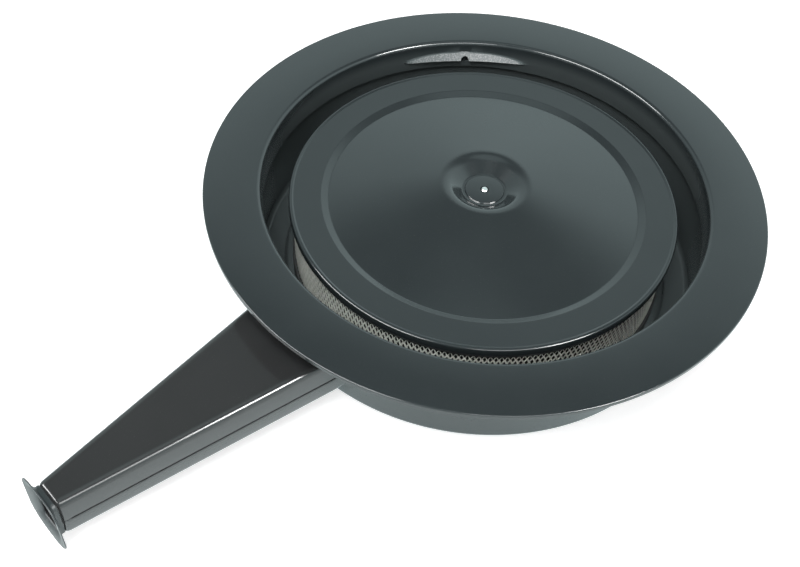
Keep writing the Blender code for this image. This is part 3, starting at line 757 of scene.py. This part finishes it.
lid_paint = black_paint("lid_paint", 0.13)
boss_foot_z = LID_Z + FLOOR_RISE
lid = turned("lid_pressing", thickened(filleted([
    (LID_RADIUS, LID_Z - LID_SKIRT, 0.0),
    (LID_RADIUS, LID_Z + BEAD_RISE, LID_EDGE),
    (LID_RADIUS - BEAD_WIDTH, LID_Z + BEAD_RISE, BEAD_FILLET),
    (LID_RADIUS - BEAD_WIDTH - BEAD_SLOPE, LID_Z, BEAD_FILLET),
    (BAND_INNER, LID_Z, STEP_FILLET),
    (CONE_FOOT, LID_Z - STEP_DEPTH, STEP_FILLET),
    (DIMPLE_RADIUS, LID_Z + DIMPLE_RISE, DIMPLE_FILLET),
    (FLOOR_RADIUS, boss_foot_z, FLOOR_FILLET),
    (BOSS_FOOT, boss_foot_z, 0.0),
    (BOSS_RADIUS, boss_foot_z + BOSS_HEIGHT, BOSS_EDGE),
    (STUD_HOLE, boss_foot_z + BOSS_HEIGHT, 0.0)])), lid_paint, segments=320)
stand_for(lid, "lid")


# Centre stud. A zinc-plated quarter-inch rod with a rolled thread; its chamfered end stands just
# proud of the boss, ready for a wing nut.

STUD_RADIUS = 0.003175
STUD_BOTTOM, STUD_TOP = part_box("center_stud")[0][2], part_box("center_stud")[1][2]
STUD_CHAMFER = 0.0008
THREAD_PITCH = 0.00127
THREAD_DEPTH = 0.00045
THREAD_ROWS = 290
THREAD_SIDES = 32


def thread_tree():
    """Geometry Nodes: a rod whose surface follows a helical thread between two chamfered ends."""
    tree, sizes = start_tree("threaded_rod", {
        "Around": 32, "Rows": 280, "Radius": 0.003, "Bottom": 0.0, "Top": 0.06, "Pitch": 0.00127,
        "Depth": 0.0004, "Chamfer": 0.0008})
    grid = put(tree, "GeometryNodeMeshGrid")
    tree.links.new(maths(tree, "ADD", sizes["Around"], 1.0), grid.inputs["Vertices X"])
    tree.links.new(sizes["Rows"], grid.inputs["Vertices Y"])
    index = put(tree, "GeometryNodeInputIndex").outputs[0]
    row = maths(tree, "MODULO", index, sizes["Rows"])
    side = maths(tree, "FLOOR", maths(tree, "DIVIDE", index, sizes["Rows"]))
    turn = maths(tree, "DIVIDE", side, sizes["Around"])
    length = maths(tree, "SUBTRACT", sizes["Top"], sizes["Bottom"])
    steps = maths(tree, "SUBTRACT", sizes["Rows"], 3.0)
    inner_row = maths(tree, "DIVIDE", maths(tree, "SUBTRACT", row, 1.0), steps)
    share = maths(tree, "MINIMUM", maths(tree, "MAXIMUM", inner_row, 0.0), 1.0)
    up = maths(tree, "MULTIPLY", share, length)
    phase = maths(tree, "FRACT", maths(tree, "SUBTRACT", maths(tree, "DIVIDE", up, sizes["Pitch"]), turn))
    valley = maths(tree, "ABSOLUTE", maths(tree, "SUBTRACT", maths(tree, "MULTIPLY", phase, 2.0), 1.0))
    threaded = maths(tree, "SUBTRACT", sizes["Radius"], maths(tree, "MULTIPLY", valley, sizes["Depth"]))
    end_gap = maths(tree, "MINIMUM", up, maths(tree, "SUBTRACT", length, up))
    chamfered = maths(tree, "ADD", maths(tree, "SUBTRACT", sizes["Radius"], sizes["Chamfer"]), end_gap)
    body = maths(tree, "MINIMUM", threaded, chamfered)
    last = maths(tree, "SUBTRACT", sizes["Rows"], 1.0)
    between = maths(tree, "MULTIPLY", row, maths(tree, "SUBTRACT", last, row))
    radius = maths(tree, "MULTIPLY", body, maths(tree, "GREATER_THAN", between, 0.5))
    angle = maths(tree, "MULTIPLY", turn, 2 * math.pi)
    place = round_axis(tree, radius, angle, maths(tree, "ADD", sizes["Bottom"], up))
    end_tree(tree, move_points(tree, grid.outputs["Mesh"], place), sizes["Finish"])
    return tree


zinc = surface("zinc_plate", MOULDED_GRAIN, {
    "Dark": (0.66, 0.67, 0.66, 1.0), "Light": (0.82, 0.82, 0.80, 1.0), "Grain Scale": 1500.0,
    "Rough Low": 0.26, "Rough High": 0.38}, peel=0.1, bump_distance=0.00005, metallic=1.0)
stud = grow("threaded_stud", bpy.data.meshes.new("stud_seed"), thread_tree(), {
    "Around": THREAD_SIDES, "Rows": THREAD_ROWS, "Radius": STUD_RADIUS, "Bottom": STUD_BOTTOM,
    "Top": STUD_TOP, "Pitch": THREAD_PITCH, "Depth": THREAD_DEPTH, "Chamfer": STUD_CHAMFER}, zinc)
stand_for(stud, "center_stud")


# Snorkel. Two pressed halves meet in narrow side flanges that are spot-welded together; root tabs
# follow the pan's wall, and a small shoulder leads to the neck that carries the mouth.

SEAM_DROP = 0.0032
SEAM_FLANGE = 0.0006
SEAM_FLANGE_NONE = 0.00015
SEAM_FLANGE_RUN = 0.0040
WELD_TAB = 0.0070
WELD_BEND = 0.0020
SHOULDER_LENGTH = 0.0045
SHOULDER_DEPTH = 0.0022
NECK_TUBE = 0.0030
ACROSS_STEPS = 24
ALONG_STEPS = 24
# The duct's paint is a lighter copy of the pan's black: painted light, so the duct reads brighter than the
# pan.
DUCT_LIT_COLOUR = (0.0310, 0.0325, 0.0330, 1.0)
DUCT_LIT_LIGHTER = (0.0370, 0.0385, 0.0390, 1.0)


def half_ring(x, grow_by, seam_flange, rise, seam_lift):
    """One half's skin from seam flange to seam flange, as (y, z) points; rise is 1 or -1."""
    half_width, top, bottom = duct(x, grow_by)
    level = top if rise > 0 else bottom
    corner = max((TOP_CORNER if rise > 0 else BOTTOM_CORNER) + grow_by, SHEET / 2)
    seam = tapered(x, ROOT_Z, END_Z) - SEAM_DROP + rise * seam_lift
    right = [(half_width + seam_flange, seam), (half_width, seam)]
    for step in range(SECTION_STEPS + 1):
        angle = math.radians(90 * step / SECTION_STEPS)
        y = half_width - corner + corner * math.cos(angle)
        right.append((y, level - rise * (corner - corner * math.sin(angle))))
    reach = half_width - corner
    flat = [(reach * (1 - 2 * step / ACROSS_STEPS), level) for step in range(1, ACROSS_STEPS)]
    return right + flat + [(-y, z) for y, z in reversed(right)]


def snorkel_half(name, rise, finish):
    """A pressed half of the duct, lofted from the pan's wall to the neck."""
    root = PAN_WALL_RADIUS + WELD_GAP
    shoulder = END_X - SHOULDER_LENGTH
    neck_end = END_X + NECK_TUBE
    tab = SHEET + WELD_BEND
    run_start = root + tab + 2 * SEAM_FLANGE_RUN
    run_end = shoulder - SEAM_FLANGE_RUN
    stations = [(True, SHEET, WELD_TAB, 0.0, WELD_TAB, SEAM_FLANGE_NONE)]
    for step in range(SECTION_STEPS + 1):
        angle = math.radians(90 * step / SECTION_STEPS)
        out, away = WELD_BEND * (1 - math.sin(angle)), WELD_BEND * (1 - math.cos(angle))
        inner_out, inner_away = tab * (1 - math.sin(angle)) - SHEET, tab * (1 - math.cos(angle))
        stations.append((True, SHEET + away, out, inner_away, inner_out, SEAM_FLANGE_NONE))
    for step in range(ALONG_STEPS + 1):
        x = run_start + (run_end - run_start) * step / ALONG_STEPS
        stations.append((False, x, 0.0, x, -SHEET, SEAM_FLANGE))
    for step in range(SECTION_STEPS + 1):
        angle = math.radians(90 * step / SECTION_STEPS)
        x = shoulder + SHOULDER_LENGTH * math.sin(angle)
        shrink = -SHOULDER_DEPTH * (1 - math.cos(angle))
        stations.append((False, x, shrink, x, shrink - SHEET, SEAM_FLANGE_NONE))
    stations.append((False, neck_end, -SHOULDER_DEPTH, neck_end, -SHOULDER_DEPTH - SHEET, SEAM_FLANGE_NONE))
    shell = bmesh.new()
    loops = []
    for on_wall, outer_x, outer_grow, inner_x, inner_grow, flange_width in stations:
        loop = []
        for skin_x, grow_by, lift, extra in ((outer_x, outer_grow, WELD_GAP / 2 + SHEET, 0.0),
                                             (inner_x, inner_grow, WELD_GAP / 2, outer_grow - inner_grow)):
            skin = []
            section_x = root + skin_x if on_wall else skin_x
            for y, z in half_ring(section_x, grow_by, flange_width + extra, rise, lift):
                x = math.sqrt(root**2 - y**2) + skin_x if on_wall else skin_x
                skin.append(shell.verts.new((x, y, z)))
            loop += skin if not loop else skin[::-1]
        loops.append(loop)
    skin_between(shell, loops, False)
    for loop in (loops[0], loops[-1]):
        for step in range(len(loop) // 2 - 1):
            shell.faces.new((loop[step], loop[step + 1], loop[-2 - step], loop[-1 - step]))
    return keep(name, shell, finish)


# The duct takes the lighter copy of the black paint, as painted light.
snorkel_lit_paint = black_paint("snorkel_lit_paint", 0.13, colour=DUCT_LIT_COLOUR, lighter=DUCT_LIT_LIGHTER)
stand_for(snorkel_half("duct_upper_half", 1, snorkel_lit_paint), "snorkel_upper")
stand_for(snorkel_half("duct_lower_half", -1, snorkel_lit_paint), "snorkel_lower")


# Snorkel mouth. A separate flared bell whose sleeve is pushed on the neck; its lip opens to nearly
# a racetrack shape, and its paint is duller than the duct's.

MOUTH_SLEEVE = 0.0024
MOUTH_REACH = 0.0072
MOUTH_FLARE = 0.0112
MOUTH_CORNER = 0.0210
MOUTH_FIT = 0.0005
FLARE_ANGLE = math.radians(82.0)
BELL_STEPS = 14
BELL_CORNER_STEPS = 16


def mouth_bell(finish):
    """The bell, lofted from the neck's rounded rectangle to the wide lip."""
    sleeve = MOUTH_FIT + SEAM_FLANGE_NONE - SHOULDER_DEPTH
    neck_corner = TOP_CORNER + sleeve
    start = END_X + WELD_GAP
    flare_start, lip_x = start + MOUTH_SLEEVE, END_X + MOUTH_REACH
    skin = [Vector((start, sleeve))]
    for step in range(BELL_STEPS + 1):
        angle = FLARE_ANGLE * step / BELL_STEPS
        x = flare_start + (lip_x - flare_start) * math.sin(angle) / math.sin(FLARE_ANGLE)
        share = (1 - math.cos(angle)) / (1 - math.cos(FLARE_ANGLE))
        skin.append(Vector((x, sleeve + (MOUTH_FLARE - sleeve) * share)))
    bell = bmesh.new()
    rings = []
    for x, grow_by in thickened(skin):
        share = (grow_by - sleeve) / (MOUTH_FLARE - sleeve)
        corner = neck_corner + (MOUTH_CORNER - neck_corner) * share
        section = rounded_rectangle(END_X, grow_by, corner, BELL_CORNER_STEPS)
        rings.append([bell.verts.new((x, y, z)) for y, z in section])
    skin_between(bell, rings, True)
    return keep("mouth_bell", bell, finish)


stand_for(mouth_bell(black_paint("mouth_paint", 0.50)), "snorkel_mouth")


# Camera. A normal lens about a metre from the part, looking down across the lid with the snorkel
# towards the lower left; the photographer's side is turned by VIEW_TURN from the part's own axes.

PHOTO_WIDTH = 800
FOCAL_PIXELS = 1100
SENSOR_WIDTH = 36.0
VIEW_TURN = math.radians(134.4)
CAMERA_PLACE = Vector((-0.0702, -0.7189, 0.7938))
CAMERA_PITCH = math.radians(49.53)
CAMERA_ROLL = math.radians(4.34)

studio = Matrix.Rotation(VIEW_TURN, 4, "Z")
camera_data = bpy.data.cameras.new("camera")
camera_data.sensor_width = SENSOR_WIDTH
camera_data.lens = FOCAL_PIXELS / PHOTO_WIDTH * SENSOR_WIDTH
camera = bpy.data.objects.new("camera", camera_data)
bpy.context.collection.objects.link(camera)
camera.matrix_world = (studio @ Matrix.Translation(CAMERA_PLACE)
                       @ Matrix.Rotation(math.pi / 2 - CAMERA_PITCH, 4, "X")
                       @ Matrix.Rotation(CAMERA_ROLL, 4, "Z"))
bpy.context.scene.camera = camera


# Studio. A white table in a white room, whose ceiling is darker but for its middle; one soft lamp
# high on the camera's left gives matt light only, and three windows on the camera's side, which
# only gloss shows, draw the light lines on the rolled edges.

TABLE_SIZE = 12.0
TABLE_TO_EYE = 0.66
TABLE_IN_PAINT = 1.1
TABLE_WHITE = (0.86, 0.86, 0.86, 1.0)
WHITE = (1.0, 1.0, 1.0, 1.0)
ROOM_TINT = (0.80, 0.99, 1.0, 1.0)


def tinted_in_paint(tree, ray):
    """White to the eye, and the room's faint blue-green in what the paint mirrors."""
    return mixed(tree, ray["Is Glossy Ray"], WHITE, ROOM_TINT)


def white_table():
    """The table: white to the eye, and it keeps the part's soft shadow."""
    sheet = bmesh.new()
    bmesh.ops.create_grid(sheet, x_segments=1, y_segments=1, size=TABLE_SIZE / 2)
    mesh = bpy.data.meshes.new("table")
    sheet.to_mesh(mesh)
    sheet.free()
    material = bpy.data.materials.new("table_white")
    material.use_nodes = True
    tree = material.node_tree
    shader = tree.nodes["Principled BSDF"]
    shader.inputs["Base Color"].default_value = TABLE_WHITE
    shader.inputs["Roughness"].default_value = 0.9
    shader.inputs["Specular IOR Level"].default_value = 0.0
    ray = put(tree, "ShaderNodeLightPath").outputs
    tree.links.new(tinted_in_paint(tree, ray), shader.inputs["Emission Color"])
    tree.links.new(maths(tree, "ADD", maths(tree, "MULTIPLY", ray["Is Camera Ray"], TABLE_TO_EYE),
                         maths(tree, "MULTIPLY", ray["Is Glossy Ray"], TABLE_IN_PAINT)),
                   shader.inputs["Emission Strength"])
    mesh.materials.append(material)
    table = bpy.data.objects.new("table", mesh)
    bpy.context.collection.objects.link(table)


white_table()


PART_MIDDLE = Vector((0.0, 0.0, 0.08))
LAMP_AWAY = 2.4
LAMP_SIDE = 0.9
WINDOW_RISE = 42
WINDOW_HIGH = 0.72


def soft_light(name, bearing, rise, wide, high, watts):
    """A soft rectangular lamp that faces the part, by its bearing and height as the camera sees it."""
    lamp = bpy.data.lights.new(name, "AREA")
    lamp.shape = "RECTANGLE"
    lamp.size, lamp.size_y, lamp.energy = wide, high, watts
    holder = bpy.data.objects.new(name, lamp)
    bpy.context.collection.objects.link(holder)
    bearing, rise = math.radians(bearing), math.radians(rise)
    level = LAMP_AWAY * math.cos(rise)
    place = Vector((level * math.cos(bearing), level * math.sin(bearing), LAMP_AWAY * math.sin(rise)))
    aim = (PART_MIDDLE - place).to_track_quat("-Z", "Y").to_matrix().to_4x4()
    holder.matrix_world = studio @ Matrix.Translation(place) @ aim
    holder.visible_camera = False
    return holder


for name, bearing, wide, watts in (("right_window", -38, 0.8, 72.0), ("front_window", -66, 1.6, 29.0),
                                   ("left_window", -150, 2.6, 118.0)):
    window = soft_light(name, bearing, WINDOW_RISE, wide, WINDOW_HIGH, watts)
    window.visible_diffuse = False
key = soft_light("overhead_lamp", bearing=-108, rise=64, wide=LAMP_SIDE, high=LAMP_SIDE, watts=38.0)
key.visible_glossy = False

WALL_BRIGHT = 1.30
WALL_TOP, CEILING_EDGE = 0.60, 0.84
CEILING_DIM = 0.30
MIDDLE_EDGE, MIDDLE_FULL = 0.90, 0.99
CEILING_MIDDLE = 1.05
RIGHT_EXTRA = 0.35
ROOM_LIGHT = 0.50
world = bpy.data.worlds.new("white_room")
bpy.context.scene.world = world
world.use_nodes = True
room = world.node_tree
background = room.nodes["Background"]
ray = put(room, "ShaderNodeLightPath").outputs
look = put(room, "ShaderNodeTexCoord").outputs["Generated"]
height = put(room, "ShaderNodeSeparateXYZ")
room.links.new(look, height.inputs[0])
rightward = put(room, "ShaderNodeVectorMath", operation="DOT_PRODUCT")
room.links.new(look, rightward.inputs[0])
rightward.inputs[1].default_value = studio @ Vector((1.0, 0.0, 0.0))

walls = ramp(room, height.outputs["Z"], WALL_TOP, CEILING_EDGE, WALL_BRIGHT, CEILING_DIM)
overhead = ramp(room, height.outputs["Z"], MIDDLE_EDGE, MIDDLE_FULL, 0.0, CEILING_MIDDLE - CEILING_DIM)
sides = maths(room, "MULTIPLY_ADD", rightward.outputs["Value"], RIGHT_EXTRA, 1.0)
mirrored = maths(room, "MULTIPLY", sides, maths(room, "ADD", walls, overhead))
in_paint = maths(room, "MULTIPLY", ray["Is Glossy Ray"], mirrored)
on_matt = maths(room, "MULTIPLY", ray["Is Diffuse Ray"], ROOM_LIGHT)
to_eye = maths(room, "MAXIMUM", ray["Is Camera Ray"], ray["Is Transmission Ray"])
brightness = maths(room, "MAXIMUM", to_eye, maths(room, "MAXIMUM", in_paint, on_matt))
room.links.new(tinted_in_paint(room, ray), background.inputs["Color"])
room.links.new(brightness, background.inputs["Strength"])

bpy.context.scene.view_settings.view_transform = "Standard"
